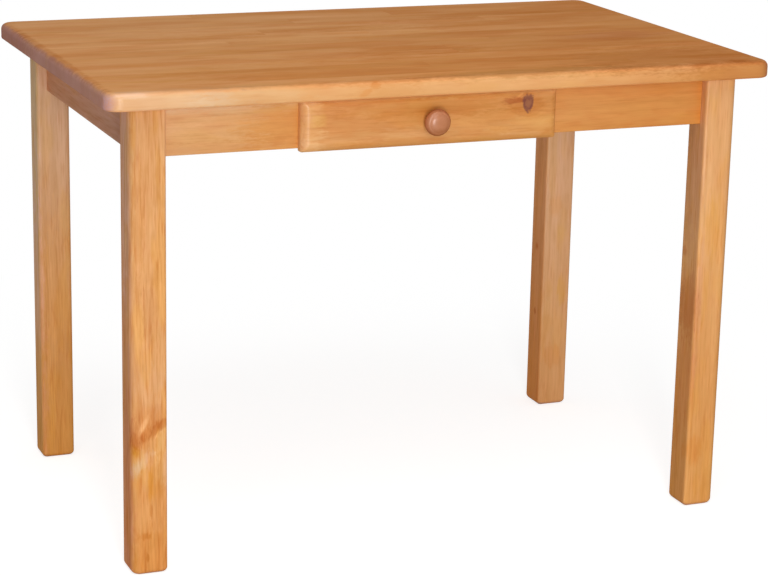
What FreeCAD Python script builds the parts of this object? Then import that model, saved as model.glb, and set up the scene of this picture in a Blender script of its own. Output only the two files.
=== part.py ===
"""Tavern table: a pine top on four square legs, joined by aprons, with one shallow drawer.

The origin is on the floor under the middle of the top. X runs along the table, Y across it
(the drawer is on the -Y side) and Z is up. All sizes are millimetres.
"""
import FreeCAD, Part
import os
import re

DOCUMENT = FreeCAD.newDocument("TavernTable")
SHEET = DOCUMENT.addObject("Spreadsheet::Sheet", "Sizes")

SIZES = {
    # whole table
    "table_length": 1100,
    "table_depth": 700,
    "table_height": 760,
    # top
    "top_thickness": 27,
    "top_corner_radius": 25,
    "top_upper_radius": 10,
    "top_lower_radius": 4,
    # legs: insets are from the edge of the top to the outer faces
    "leg_width": 56,
    "leg_end_inset": 43,
    "leg_side_inset": 34,
    "leg_outer_radius": 14,
    "leg_edge_radius": 5,
    "foot_radius": 9,
    # aprons, centred on the legs
    "apron_height": 80,
    "apron_thickness": 20,
    "apron_edge_radius": 2,
    "dowel_radius": 4,
    "dowel_length": 40,
    "dowel_spacing": 40,
    "dowel_fit": 0.1,
    "dowel_end_room": 1,
    # diagonal blocks behind the legs
    "block_thickness": 22,
    "block_height": 60,
    "block_top_gap": 6,
    "block_leg_gap": 2,
    "block_screw_spacing": 36,
    "block_screw_seat": 9,
    "block_screw_length": 22,
    "block_pocket_radius": 4.5,
    "block_pocket_depth": 24,
    # bolts that pull the legs against the aprons
    "bolt_radius": 4,
    "bolt_depth_in_leg": 40,
    "bolt_past_nut": 4,
    "bolt_fit": 0.2,
    "washer_radius": 11,
    "washer_thickness": 2,
    "nut_corner_radius": 7.5,
    "nut_height": 6.5,
    # wood screws
    "screw_radius": 2,
    "screw_head_radius": 4,
    "screw_head_height": 2.5,
    "screw_tip_length": 4,
    "screw_point_radius": 0.25,
    "screw_fit": 0.1,
    # steel angles that hold the top
    "bracket_arm": 30,
    "bracket_width": 18,
    "bracket_thickness": 2,
    "bracket_spread": 340,
    "bracket_screw_inset": 19,
    "bracket_screw_length": 16,
    # drawer front and the window behind it
    "drawer_width": 425,
    "drawer_offset": 27,
    "drawer_front_height": 81,
    "drawer_front_thickness": 20,
    "drawer_front_radius": 13,
    "drawer_corner_radius": 3,
    "drawer_front_gap": 0.3,
    "drawer_top_gap": 3.5,
    "drawer_overlap": 12,
    "window_rail": 10,
    # drawer box
    "box_depth": 420,
    "box_board": 12,
    "box_side_gap": 1.5,
    "box_top_gap": 1.5,
    "box_runner_gap": 0.3,
    "box_bottom_thickness": 4,
    "box_bottom_height": 8,
    "box_groove_depth": 5,
    "box_groove_fit": 0.2,
    "box_screw_height": 33,
    "box_screw_spacing": 26,
    "box_screw_length": 34,
    "front_screw_spread": 140,
    "front_screw_length": 27,
    # rails that guide the drawer
    "runner_wall": 18,
    "runner_height": 45,
    "runner_ledge": 16,
    "runner_dowel_length": 32,
    "runner_dowel_in_apron": 12,
    "kicker_width": 22,
    "kicker_screw_spread": 200,
    "kicker_screw_length": 26,
    # block that stops the opened drawer
    "stop_length": 40,
    "stop_width": 26,
    "stop_height": 20,
    "stop_screw_length": 36,
    "drawer_travel": 300,
    # knob
    "knob_radius": 21,
    "knob_height": 31,
    "knob_head_thickness": 19,
    "knob_base_radius": 10,
    "knob_neck_radius": 8,
    "knob_screw_radius": 2,
    "knob_screw_depth": 14,
    "knob_screw_head_radius": 4.5,
    "knob_screw_head_height": 2.5,
}

# Derived places, as formulas on the sheet's names.
UNDERSIDE = "(table_height - top_thickness)"
LEG_X = "(table_length / 2 - leg_end_inset - leg_width / 2)"
LEG_Y = "(table_depth / 2 - leg_side_inset - leg_width / 2)"
APRON_LOW = f"({UNDERSIDE} - apron_height)"
INNER_Y = f"({LEG_Y} - apron_thickness / 2)"
INNER_X = f"({LEG_X} - apron_thickness / 2)"
OUTER_Y = f"({LEG_Y} + apron_thickness / 2)"
WINDOW_HALF = "(drawer_width / 2 - drawer_overlap)"
WINDOW_LOW = f"({APRON_LOW} + window_rail)"
WINDOW_HIGH = f"({UNDERSIDE} - window_rail)"
BOX_HALF = f"({WINDOW_HALF} - box_side_gap)"
BOX_LOW = f"({WINDOW_LOW} + box_runner_gap)"
BOX_HEIGHT = f"({WINDOW_HIGH} - box_top_gap - {BOX_LOW})"
BOX_FRONT = f"(-{OUTER_Y} - drawer_front_gap)"
BOX_BACK = f"({BOX_FRONT} + box_depth)"
FRONT_HIGH = f"({UNDERSIDE} - drawer_top_gap)"
FRONT_FACE = f"({BOX_FRONT} - drawer_front_thickness)"
KNOB_Z = f"({FRONT_HIGH} - drawer_front_height / 2)"

pieces = {}
names_used = set()


def formula(text):
    """Return text with each name of the sheet written as the sheet's own cell."""
    return re.sub(r"\b[a-z][a-z_]+\b(?!\()", lambda word: "Sizes." + word.group(0), text)


def value(text):
    """Return the number that a formula comes to."""
    return float(SHEET.evalExpression(formula(text)))


def fill_sheet():
    """Write the driving dimensions into the spreadsheet, one named cell each."""
    for row, (name, size) in enumerate(SIZES.items(), 1):
        SHEET.set(f"A{row}", name)
        SHEET.set(f"B{row}", str(size))
        SHEET.setAlias(f"B{row}", name)
    DOCUMENT.recompute()


def add(kind, name):
    """Add an object of this kind to the document, under a name of its own."""
    count = 1
    while f"{name}_{count}" in names_used:
        count += 1
    names_used.add(f"{name}_{count}")
    return DOCUMENT.addObject(kind, f"{name}_{count}")


def place(item, where, rotation=FreeCAD.Rotation()):
    """Turn an object and bind the three coordinates of its place to formulas."""
    item.Placement = FreeCAD.Placement(FreeCAD.Vector(), rotation)
    for axis, text in zip("xyz", where):
        item.setExpression("Placement.Base." + axis, formula(text))


def along(start, direction, distance):
    """Return the point at a distance from start, in a direction, as three formulas."""
    return tuple(f"({text} + ({distance}) * {step:.9f})" for text, step in zip(start, direction))


def make_box(name, size, corner, rotation=FreeCAD.Rotation()):
    """Make a box from its three sizes and its lowest corner."""
    box = add("Part::Box", name)
    for side, text in zip(("Length", "Width", "Height"), size):
        box.setExpression(side, formula(text))
    place(box, corner, rotation)
    return box


def make_rod(name, radius, length, start, direction):
    """Make a round rod that runs from start in a direction."""
    rod = add("Part::Cylinder", name)
    rod.setExpression("Radius", formula(radius))
    rod.setExpression("Height", formula(length))
    place(rod, start, FreeCAD.Rotation(FreeCAD.Vector(0, 0, 1), FreeCAD.Vector(*direction)))
    return rod


def make_cone(name, first_radius, last_radius, length, start, direction):
    """Make a cone that runs from start in a direction."""
    cone = add("Part::Cone", name)
    cone.setExpression("Radius1", formula(first_radius))
    cone.setExpression("Radius2", formula(last_radius))
    cone.setExpression("Height", formula(length))
    place(cone, start, FreeCAD.Rotation(FreeCAD.Vector(0, 0, 1), FreeCAD.Vector(*direction)))
    return cone


def join(name, solids):
    """Fuse solids that are one piece of material."""
    fusion = add("Part::MultiFuse", name)
    fusion.Shapes = solids
    return fusion


def round_edges(name, blank, radius_of_edge):
    """Round the edges of a blank by the radius that a function gives for each of them."""
    DOCUMENT.recompute()
    rounded = add("Part::Fillet", name)
    rounded.Base = blank
    radii = [(index, radius_of_edge(edge)) for index, edge in enumerate(blank.Shape.Edges, 1)]
    rounded.Edges = [(index, radius, radius) for index, radius in radii if radius]
    return rounded


def runs_along(edge, axis):
    """Tell whether a straight edge runs along x, y or z."""
    span = edge.BoundBox
    lengths = {"x": span.XLength, "y": span.YLength, "z": span.ZLength}
    return lengths[axis] > 0.99 * edge.Length


def add_piece(label, blank):
    """Register the blank of a sub-part, from which cutters may be taken later."""
    pieces[label] = {"blank": blank, "cutters": []}


def add_group(label, solids):
    """Register separate identical solids that share one sub-part."""
    compound = add("Part::Compound", label + "_set")
    compound.Links = solids
    add_piece(label, compound)


def drill(cutters, labels):
    """Take cutters out of each of the sub-parts named."""
    for label in labels:
        pieces[label]["cutters"].extend(cutters)


def finish_pieces():
    """Cut each blank, give the result its label and return the finished sub-parts."""
    finished = []
    for label, piece in pieces.items():
        result = piece["blank"]
        if piece["cutters"]:
            tools = add("Part::Compound", label + "_tools")
            tools.Links = piece["cutters"]
            result = add("Part::Cut", label + "_cut")
            result.Base = piece["blank"]
            result.Tool = tools
        result.Label = label
        finished.append(result)
    DOCUMENT.recompute()
    return finished


def wood_screw(name, length, start, direction, labels):
    """Make one countersunk wood screw and drill its hole into the sub-parts named."""
    head = make_cone(
        name + "_head", "screw_head_radius", "screw_radius", "screw_head_height", start, direction,
    )
    shank = make_rod(name + "_shank", "screw_radius", length, start, direction)
    end = along(start, direction, length)
    tip = make_cone(
        name + "_tip", "screw_radius", "screw_point_radius", "screw_tip_length", end, direction,
    )
    sink = make_cone(
        name + "_sink", "screw_head_radius + screw_fit", "screw_radius + screw_fit", "screw_head_height",
        start, direction,
    )
    bore = make_rod(
        name + "_bore", "screw_radius + screw_fit", f"{length} + screw_tip_length + screw_fit",
        start, direction,
    )
    drill([sink, bore], labels)
    return join(name, [head, shank, tip])


def make_top():
    """Top: one glued panel with rounded corners and edges."""
    panel = make_box(
        "top_panel", ("table_length", "table_depth", "top_thickness"),
        ("-table_length / 2", "-table_depth / 2", UNDERSIDE),
    )
    corners = round_edges(
        "top_corners", panel, lambda edge: value("top_corner_radius") if runs_along(edge, "z") else 0,
    )
    middle = value("table_height - top_thickness / 2")

    def edge_radius(edge):
        if runs_along(edge, "z"):
            return 0
        return value("top_upper_radius") if edge.CenterOfMass.z > middle else value("top_lower_radius")

    add_piece("table_top", round_edges("top_edges", corners, edge_radius))


def make_legs():
    """Legs: square posts with one well rounded outer edge and a softened foot."""
    for label, side_x, side_y in LEGS:
        post = make_box(
            label + "_post", ("leg_width", "leg_width", UNDERSIDE),
            (f"{side_x} * {LEG_X} - leg_width / 2", f"{side_y} * {LEG_Y} - leg_width / 2", "0"),
        )
        outer_x = side_x * value(f"{LEG_X} + leg_width / 2")
        outer_y = side_y * value(f"{LEG_Y} + leg_width / 2")
        add_piece(label, round_edges(label + "_rounded", post, leg_edge_radius(outer_x, outer_y)))


def leg_edge_radius(outer_x, outer_y):
    """Return the rule for the edges of the leg whose outer corner is at this x and y."""
    def rule(edge):
        middle = edge.CenterOfMass
        if runs_along(edge, "z"):
            is_outer = abs(middle.x - outer_x) + abs(middle.y - outer_y) < 1
            return value("leg_outer_radius") if is_outer else value("leg_edge_radius")
        return value("foot_radius") if middle.z < 1 else 0
    return rule


def make_aprons():
    """Aprons: four boards between the legs, the front one with a window for the drawer."""
    long_span = f"2 * {LEG_X} - leg_width"
    short_span = f"2 * {LEG_Y} - leg_width"
    boards = (
        ("apron_front", "x", (f"-({long_span}) / 2", f"-{OUTER_Y}", APRON_LOW)),
        ("apron_back", "x", (f"-({long_span}) / 2", INNER_Y, APRON_LOW)),
        ("apron_left", "y", (f"-{LEG_X} - apron_thickness / 2", f"-({short_span}) / 2", APRON_LOW)),
        ("apron_right", "y", (INNER_X, f"-({short_span}) / 2", APRON_LOW)),
    )
    low = value(APRON_LOW)
    for label, axis, corner in boards:
        size = (long_span, "apron_thickness", "apron_height")
        if axis == "y":
            size = ("apron_thickness", short_span, "apron_height")
        board = make_box(label + "_board", size, corner)

        def edge_radius(edge, axis=axis):
            is_lower = edge.CenterOfMass.z < low + 1
            return value("apron_edge_radius") if runs_along(edge, axis) and is_lower else 0

        add_piece(label, round_edges(label + "_rounded", board, edge_radius))
    window = make_box(
        "window", (f"2 * {WINDOW_HALF}", "apron_thickness + 2", "apron_height - 2 * window_rail"),
        (f"-drawer_offset - {WINDOW_HALF}", f"-{OUTER_Y} - 1", WINDOW_LOW),
    )
    drill([window], ["apron_front"])


def make_apron_dowels():
    """Dowels: two in each joint of an apron with a leg, half their length in each."""
    dowels = []
    for label, side_x, side_y in LEGS:
        long_apron = "apron_front" if side_y < 0 else "apron_back"
        short_apron = "apron_left" if side_x < 0 else "apron_right"
        inner_x = f"{side_x} * ({LEG_X} - leg_width / 2)"
        inner_y = f"{side_y} * ({LEG_Y} - leg_width / 2)"
        for step in (-1, 1):
            height = f"{APRON_LOW} + apron_height / 2 + {step} * dowel_spacing / 2"
            joints = (
                (long_apron, (inner_x, f"{side_y} * {LEG_Y}", height), (-side_x, 0, 0)),
                (short_apron, (f"{side_x} * {LEG_X}", inner_y, height), (0, -side_y, 0)),
            )
            for apron, middle, direction in joints:
                start = along(middle, direction, "-dowel_length / 2")
                bore_start = along(middle, direction, "-dowel_length / 2 - dowel_end_room")
                dowels.append(make_rod("apron_dowel", "dowel_radius", "dowel_length", start, direction))
                bore = make_rod(
                    "apron_dowel_bore", "dowel_radius + dowel_fit", "dowel_length + 2 * dowel_end_room",
                    bore_start, direction,
                )
                drill([bore], [label, apron])
    add_group("apron_dowels", dowels)


def make_corner_blocks():
    """Blocks: a diagonal board behind each leg, screwed to both aprons."""
    screws = []
    near = "(leg_width + block_leg_gap)"
    far = f"({near} + block_thickness * sqrt(2))"
    low = f"({UNDERSIDE} - block_top_gap - block_height)"
    reach = f"({far} - apron_thickness)"
    for label, side_x, side_y in LEGS:
        block = label.replace("leg", "corner_block")
        apron_x = "apron_left" if side_x < 0 else "apron_right"
        apron_y = "apron_front" if side_y < 0 else "apron_back"
        centre = (f"{side_x} * {LEG_X}", f"{side_y} * {LEG_Y}", low)
        inward = (-side_x * 0.5, -side_y * 0.5, 0)
        # The board lies across the line from the leg's axis to the middle of the table.
        turn = FreeCAD.Rotation(FreeCAD.Vector(1, 0, 0), FreeCAD.Vector(*inward))
        sideways = turn.multVec(FreeCAD.Vector(0, 1, 0))
        near_middle = along(centre, inward, near)
        corner = along(near_middle, tuple(sideways), f"-{far}")
        board = make_box(block + "_board", ("block_thickness", f"2 * {far}", "block_height"), corner, turn)
        corner_x = f"{side_x} * {INNER_X}" if side_x < 0 else f"{INNER_X} - {reach}"
        corner_y = f"{side_y} * {INNER_Y}" if side_y < 0 else f"{INNER_Y} - {reach}"
        quadrant = make_box(block + "_corner", (reach, reach, "block_height"), (corner_x, corner_y, low))
        mitred = add("Part::Common", block + "_mitred")
        mitred.Base = board
        mitred.Tool = quadrant
        add_piece(block, mitred)
        seat = "(block_screw_seat + apron_thickness / 2)"
        middle = f"(({near} + {far}) / 2 - apron_thickness / 2)"
        for step in (-1, 1):
            height = f"{low} + block_height / 2 + {step} * block_screw_spacing / 2"
            ends = (
                (apron_x, seat, middle, (side_x, 0, 0)),
                (apron_y, middle, seat, (0, side_y, 0)),
            )
            for apron, from_x, from_y, direction in ends:
                start = (f"{side_x} * ({LEG_X} - {from_x})", f"{side_y} * ({LEG_Y} - {from_y})", height)
                out = tuple(-part for part in direction)
                pocket = make_rod("block_pocket", "block_pocket_radius", "block_pocket_depth", start, out)
                drill([pocket], [block])
                length = "block_screw_length - screw_tip_length"
                screws.append(wood_screw("block_screw", length, start, direction, [block, apron]))
    add_group("corner_block_screws", screws)


def make_leg_bolts():
    """Bolts: a headless bolt in each leg, with a washer and a nut on the corner block."""
    bolts = []
    washers = []
    nuts = []
    far = "((leg_width + block_leg_gap) / sqrt(2) + block_thickness)"
    buried = "(leg_width / sqrt(2) - bolt_depth_in_leg)"
    height = f"({UNDERSIDE} - block_top_gap - block_height / 2)"
    for label, side_x, side_y in LEGS:
        axis = FreeCAD.Vector(-side_x, -side_y, 0).normalize()
        direction = tuple(axis)
        centre = (f"{side_x} * {LEG_X}", f"{side_y} * {LEG_Y}", height)
        start = along(centre, direction, buried)
        length = f"{far} + washer_thickness + nut_height + bolt_past_nut - {buried}"
        bolts.append(make_rod("leg_bolt", "bolt_radius", length, start, direction))
        bore = make_rod("leg_bolt_bore", "bolt_radius + bolt_fit", length, start, direction)
        drill([bore], [label, label.replace("leg", "corner_block")])
        washer_start = along(centre, direction, far)
        disc = make_rod("washer_disc", "washer_radius", "washer_thickness", washer_start, direction)
        washers.append(cut_bore("leg_washer", disc, bore))
        nut_start = along(centre, direction, f"{far} + washer_thickness")
        prism = add("Part::Prism", "nut_prism")
        prism.Polygon = 6
        prism.setExpression("Circumradius", formula("nut_corner_radius"))
        prism.setExpression("Height", formula("nut_height"))
        place(prism, nut_start, FreeCAD.Rotation(FreeCAD.Vector(0, 0, 1), axis))
        nuts.append(cut_bore("leg_nut", prism, bore))
    add_group("leg_hanger_bolts", bolts)
    add_group("leg_bolt_washers", washers)
    add_group("leg_bolt_nuts", nuts)


def cut_bore(name, solid, bore):
    """Return a solid with a bore taken out of it."""
    result = add("Part::Cut", name)
    result.Base = solid
    result.Tool = bore
    return result


def make_brackets():
    """Brackets: steel angles between the aprons and the underside of the top."""
    brackets = []
    screws = []
    spots = (
        ("apron_front", ("-bracket_spread", f"-{INNER_Y}"), (0, 1)),
        ("apron_front", ("bracket_spread", f"-{INNER_Y}"), (0, 1)),
        ("apron_back", ("-bracket_spread", INNER_Y), (0, -1)),
        ("apron_back", ("bracket_spread", INNER_Y), (0, -1)),
        ("apron_left", (f"-{INNER_X}", "0"), (1, 0)),
        ("apron_right", (INNER_X, "0"), (-1, 0)),
    )
    for apron, (x, y), (way_x, way_y) in spots:
        # Each arm is made along +X from the origin and turned to point away from the apron.
        turn = FreeCAD.Rotation(FreeCAD.Vector(1, 0, 0), FreeCAD.Vector(way_x, way_y, 0))
        sideways = tuple(turn.multVec(FreeCAD.Vector(0, 1, 0)))
        arms = []
        for size, drop in (
            (("bracket_arm", "bracket_width", "bracket_thickness"), "bracket_thickness"),
            (("bracket_thickness", "bracket_width", "bracket_arm"), "bracket_arm"),
        ):
            corner = along((x, y, f"{UNDERSIDE} - {drop}"), sideways, "-bracket_width / 2")
            arms.append(make_box("bracket_arm", size, corner, turn))
        angle = join("bracket_angle", arms)
        way = (way_x, way_y, 0)
        top_start = along((x, y, f"{UNDERSIDE} - bracket_thickness"), way, "bracket_screw_inset")
        side_start = along((x, y, f"{UNDERSIDE} - bracket_screw_inset"), way, "bracket_thickness")
        label = f"bracket_{len(brackets) + 1}"
        add_piece(label, angle)
        length = "bracket_screw_length - screw_tip_length"
        screws.append(wood_screw("bracket_screw", length, top_start, (0, 0, 1), [label, "table_top"]))
        screws.append(wood_screw("bracket_screw", length, side_start, (-way_x, -way_y, 0), [label, apron]))
        spot = pieces.pop(label)
        tools = add("Part::Compound", "bracket_tools")
        tools.Links = spot["cutters"]
        brackets.append(cut_bore("bracket", spot["blank"], tools))
    add_group("top_brackets", brackets)
    add_group("top_bracket_screws", screws)


def make_rails():
    """Rails: an L-shaped runner under, and a kicker strip over, each side of the drawer."""
    dowels = []
    screws = []
    span = f"2 * {INNER_Y}"
    for side, way in (("left", -1), ("right", 1)):
        face = f"(-drawer_offset + {way} * {WINDOW_HALF})"
        wall_x = face if way > 0 else f"{face} - runner_wall"
        ledge_x = f"{face} - runner_ledge" if way > 0 else face
        wall_size = ("runner_wall", span, "runner_height")
        ledge_size = ("runner_ledge", span, "window_rail")
        wall = make_box("runner_wall", wall_size, (wall_x, f"-{INNER_Y}", APRON_LOW))
        ledge = make_box("runner_ledge", ledge_size, (ledge_x, f"-{INNER_Y}", APRON_LOW))
        runner = "drawer_runner_" + side
        add_piece(runner, join(runner + "_section", [wall, ledge]))
        for end, apron in ((-1, "apron_front"), (1, "apron_back")):
            height = f"{APRON_LOW} + runner_height / 2"
            middle = (f"{face} + {way} * runner_wall / 2", f"{end} * {INNER_Y}", height)
            inward = (0, -end, 0)
            start = along(middle, inward, "-runner_dowel_in_apron")
            dowels.append(make_rod("runner_dowel", "dowel_radius", "runner_dowel_length", start, inward))
            bore = make_rod(
                "runner_dowel_bore", "dowel_radius + dowel_fit", "runner_dowel_length + dowel_end_room",
                start, inward,
            )
            drill([bore], [runner, apron])
        strip_x = f"{face} - kicker_width" if way > 0 else face
        kicker = "drawer_kicker_" + side
        strip_size = ("kicker_width", span, "window_rail")
        add_piece(kicker, make_box(kicker + "_strip", strip_size, (strip_x, f"-{INNER_Y}", WINDOW_HIGH)))
        for step in (-1, 0, 1):
            start = (f"{strip_x} + kicker_width / 2", f"{step} * kicker_screw_spread", WINDOW_HIGH)
            length = "kicker_screw_length - screw_tip_length"
            screws.append(wood_screw("kicker_screw", length, start, (0, 0, 1), [kicker, "table_top"]))
    add_group("runner_dowels", dowels)
    add_group("kicker_screws", screws)


def make_stop():
    """Stop: a block under the top that catches the back of the opened drawer."""
    back_face = f"({BOX_BACK} - box_board - drawer_travel - drawer_front_gap)"
    low = f"{UNDERSIDE} - stop_height"
    block = make_box(
        "stop_block", ("stop_length", "stop_width", "stop_height"),
        ("-drawer_offset - stop_length / 2", f"{back_face} - stop_width", low),
    )
    add_piece("drawer_stop_block", block)
    start = ("-drawer_offset", f"{back_face} - stop_width / 2", low)
    length = "stop_screw_length - screw_tip_length"
    screw = wood_screw("stop_screw", length, start, (0, 0, 1), ["drawer_stop_block", "table_top"])
    add_piece("drawer_stop_screw", screw)


def make_drawer_front():
    """Front: a thick board that laps over the apron on every side of the window."""
    board = make_box(
        "front_board", ("drawer_width", "drawer_front_thickness", "drawer_front_height"),
        ("-drawer_offset - drawer_width / 2", FRONT_FACE, f"{FRONT_HIGH} - drawer_front_height"),
    )
    corners = round_edges(
        "front_corners", board, lambda edge: value("drawer_corner_radius") if runs_along(edge, "y") else 0,
    )
    face = value(FRONT_FACE)
    add_piece(
        "drawer_front",
        round_edges(
            "front_rounded", corners,
            lambda edge: value("drawer_front_radius") if edge.BoundBox.YMax < face + 0.1 else 0,
        ),
    )


def make_drawer_box():
    """Box: two sides with an inner front, a back and a grooved-in bottom between them."""
    inner_half = f"({BOX_HALF} - box_board)"
    board_size = (f"2 * {inner_half}", "box_board", BOX_HEIGHT)
    across_x = f"-drawer_offset - {inner_half}"
    back_y = f"({BOX_BACK} - box_board)"
    for side, x in (("left", f"-drawer_offset - {BOX_HALF}"), ("right", f"-drawer_offset + {inner_half}")):
        board = make_box("side_board", ("box_board", "box_depth", BOX_HEIGHT), (x, BOX_FRONT, BOX_LOW))
        add_piece("drawer_side_" + side, board)
    add_piece("drawer_inner_front", make_box("inner_front_board", board_size, (across_x, BOX_FRONT, BOX_LOW)))
    add_piece("drawer_back", make_box("back_board", board_size, (across_x, back_y, BOX_LOW)))

    groove_half = f"({inner_half} + box_groove_depth)"
    groove_front = f"({BOX_FRONT} + box_board - box_groove_depth)"
    groove_back = f"({back_y} + box_groove_depth)"
    groove_low = f"({BOX_LOW} + box_bottom_height)"
    fit = "box_groove_fit"
    groove = make_box(
        "bottom_groove",
        (f"2 * {groove_half}", f"{groove_back} - {groove_front}", f"box_bottom_thickness + 2 * {fit}"),
        (f"-drawer_offset - {groove_half}", groove_front, groove_low),
    )
    drill([groove], ["drawer_side_left", "drawer_side_right", "drawer_inner_front", "drawer_back"])
    sheet_width = f"2 * ({groove_half} - {fit})"
    sheet_depth = f"{groove_back} - {groove_front} - 2 * {fit}"
    bottom = make_box(
        "bottom_sheet", (sheet_width, sheet_depth, "box_bottom_thickness"),
        (f"-drawer_offset - {groove_half} + {fit}", f"{groove_front} + {fit}", f"{groove_low} + {fit}"),
    )
    add_piece("drawer_bottom", bottom)

    screws = []
    for side, way in (("left", -1), ("right", 1)):
        for across, y in (("drawer_inner_front", BOX_FRONT), ("drawer_back", back_y)):
            for step in (-1, 1):
                start = (
                    f"-drawer_offset + {way} * {BOX_HALF}", f"{y} + box_board / 2",
                    f"{BOX_LOW} + box_screw_height + {step} * box_screw_spacing / 2",
                )
                length = "box_screw_length - screw_tip_length"
                boards = ["drawer_side_" + side, across]
                screws.append(wood_screw("box_screw", length, start, (-way, 0, 0), boards))
    add_group("drawer_box_screws", screws)

    screws = []
    for way in (-1, 1):
        for step in (-1, 1):
            start = (
                f"-drawer_offset + {way} * front_screw_spread", f"{BOX_FRONT} + box_board",
                f"{BOX_LOW} + box_screw_height + {step} * box_screw_spacing / 2",
            )
            length = "front_screw_length - screw_tip_length"
            screws.append(
                wood_screw("front_screw", length, start, (0, -1, 0), ["drawer_inner_front", "drawer_front"])
            )
    add_group("drawer_front_screws", screws)


def make_knob():
    """Knob: a turned head on a short stem, with the screw that comes through the front."""
    base = ("-drawer_offset", FRONT_FACE, KNOB_Z)
    outward = (0, -1, 0)
    head_middle = "(knob_height - knob_head_thickness / 2)"
    head = add("Part::Ellipsoid", "knob_head")
    head.setExpression("Radius1", formula("knob_head_thickness / 2"))
    head.setExpression("Radius2", formula("knob_radius"))
    head.setExpression("Radius3", formula("knob_radius"))
    place(
        head, along(base, outward, head_middle),
        FreeCAD.Rotation(FreeCAD.Vector(0, 0, 1), FreeCAD.Vector(*outward)),
    )
    stem = make_cone("knob_stem", "knob_base_radius", "knob_neck_radius", head_middle, base, outward)
    add_piece("drawer_knob", join("knob_turning", [head, stem]))

    inside = ("-drawer_offset", f"{BOX_FRONT} + box_board", KNOB_Z)
    length = "box_board + drawer_front_thickness + knob_screw_depth"
    shank = make_rod("knob_shank", "knob_screw_radius", length, inside, outward)
    cap = make_rod("knob_screw_cap", "knob_screw_head_radius", "knob_screw_head_height", inside, (0, 1, 0))
    add_piece("knob_screw", join("knob_screw_body", [shank, cap]))
    bore = make_rod(
        "knob_bore", "knob_screw_radius + screw_fit", f"{length} + dowel_end_room", inside, outward,
    )
    drill([bore], ["drawer_inner_front", "drawer_front", "drawer_knob"])


def check_and_export(finished):
    """Check every object of the document, then write one STEP file for each sub-part."""
    failed = [item.Name for item in DOCUMENT.Objects if {"Invalid", "Error"} & set(item.State)]
    if failed:
        raise RuntimeError("these objects failed: " + ", ".join(failed))
    for item in finished:
        if item.Shape.isNull() or not item.Shape.isValid() or not item.Shape.Solids:
            raise RuntimeError(f"{item.Label} has no sound shape")
    os.makedirs("parts", exist_ok=True)
    for item in finished:
        item.Shape.exportStep(f"parts/{item.Label}.step")
        print(f"{item.Label}: {len(item.Shape.Solids)} solids, {item.Shape.Volume / 1000:.1f} cm3")


LEGS = (
    ("leg_front_left", -1, -1),
    ("leg_front_right", 1, -1),
    ("leg_back_left", -1, 1),
    ("leg_back_right", 1, 1),
)

fill_sheet()
make_top()
make_legs()
make_aprons()
make_apron_dowels()
make_corner_blocks()
make_leg_bolts()
make_brackets()
make_rails()
make_stop()
make_drawer_front()
make_drawer_box()
make_knob()
check_and_export(finish_pieces())
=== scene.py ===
"""Looks of a pine tavern table: lacquered staves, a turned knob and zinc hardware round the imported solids.

Lengths are metres in the frame's axes: X along the table, Y away from the drawer's front, and Z up.
"""

import logging
import math
from dataclasses import dataclass
from enum import Enum
from typing import TypeAlias

import bmesh
import bpy
from mathutils import Matrix, Vector


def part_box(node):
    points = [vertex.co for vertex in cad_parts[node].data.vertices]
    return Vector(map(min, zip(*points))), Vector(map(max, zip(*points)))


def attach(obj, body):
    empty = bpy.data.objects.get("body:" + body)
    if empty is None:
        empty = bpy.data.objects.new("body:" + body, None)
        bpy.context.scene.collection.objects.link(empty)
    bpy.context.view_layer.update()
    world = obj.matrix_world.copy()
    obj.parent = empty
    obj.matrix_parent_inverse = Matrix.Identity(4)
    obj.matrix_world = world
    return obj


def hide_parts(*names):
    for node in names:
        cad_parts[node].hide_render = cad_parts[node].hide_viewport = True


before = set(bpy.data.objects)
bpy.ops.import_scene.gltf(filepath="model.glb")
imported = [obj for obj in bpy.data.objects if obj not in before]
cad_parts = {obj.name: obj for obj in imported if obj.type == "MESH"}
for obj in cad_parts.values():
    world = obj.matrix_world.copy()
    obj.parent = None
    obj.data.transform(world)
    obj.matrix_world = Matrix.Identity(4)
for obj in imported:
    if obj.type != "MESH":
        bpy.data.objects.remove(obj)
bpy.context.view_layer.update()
LOG = logging.getLogger("tavern_table")

Pair = tuple[float, float]
Triple = tuple[float, float, float]
Rgba = tuple[float, float, float, float]
Paint = bpy.types.NodeSocket | Rgba
Number: TypeAlias = "Value | float"

MM = 0.001
NO_CHANGE: Triple = (1.0, 1.0, 1.0)


class Grain(Enum):
    """The axis that a board's fibres run along, with the order of its length, width and thickness."""

    ALONG_X = (0, 1, 2)
    ALONG_X_UPRIGHT = (0, 2, 1)
    ALONG_Y = (1, 0, 2)
    ALONG_Y_UPRIGHT = (1, 2, 0)
    ALONG_Z = (2, 0, 1)


class Face(Enum):
    """A face of a piece: the axis that it looks along, and whether it is at the high end of that axis."""

    LEFT = (0, False)
    RIGHT = (0, True)
    FRONT = (1, False)
    TOP = (2, True)


class Tone(Enum):
    """How light a stave of the top is, from 0, darkest, to 1, palest."""

    RUST = 0.12
    DEEP = 0.3
    PLAIN = 0.5
    LIGHT = 0.66
    PALE = 0.86


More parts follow.
